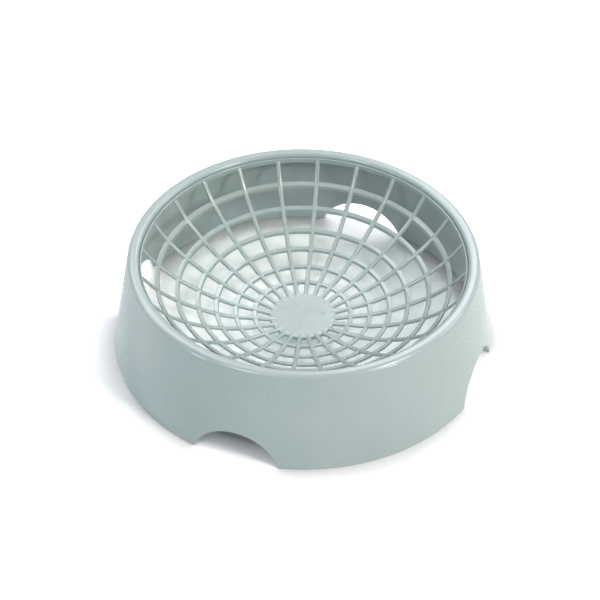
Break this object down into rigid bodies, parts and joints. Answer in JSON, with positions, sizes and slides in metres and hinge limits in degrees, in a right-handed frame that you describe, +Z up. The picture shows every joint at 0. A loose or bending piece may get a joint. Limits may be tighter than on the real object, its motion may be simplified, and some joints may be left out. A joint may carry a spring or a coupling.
{
  "type": "nest bowl",
  "caption": "Round plastic nest bowl: a conical stand with arched cut-outs at its foot, and an open, dished grille of ribs and rings that lifts out of its rim.",
  "frame": {"origin": "centre of the foot, on the plane that the bowl stands on", "axes": "+Z up along the bowl's axis; the four arches in the foot face -Y, +Y, -X and +X"},
  "size_m": [0.2434, 0.2434, 0.069],
  "materials": {
    "stand_plastic": "satin, as moulded, pale grey-green",
    "grille_plastic": "satin, as moulded, pale grey-green"
  },
  "bodies": {
    "stand": {"stand": "stand_plastic"},
    "grille": {"grille": "grille_plastic"}
  },
  "joints": [
    {"name": "grille_lift", "type": "slide", "parent": "stand", "child": "grille", "axis": [0, 0, 1], "range_m": [0, 0.056]}
  ]
}
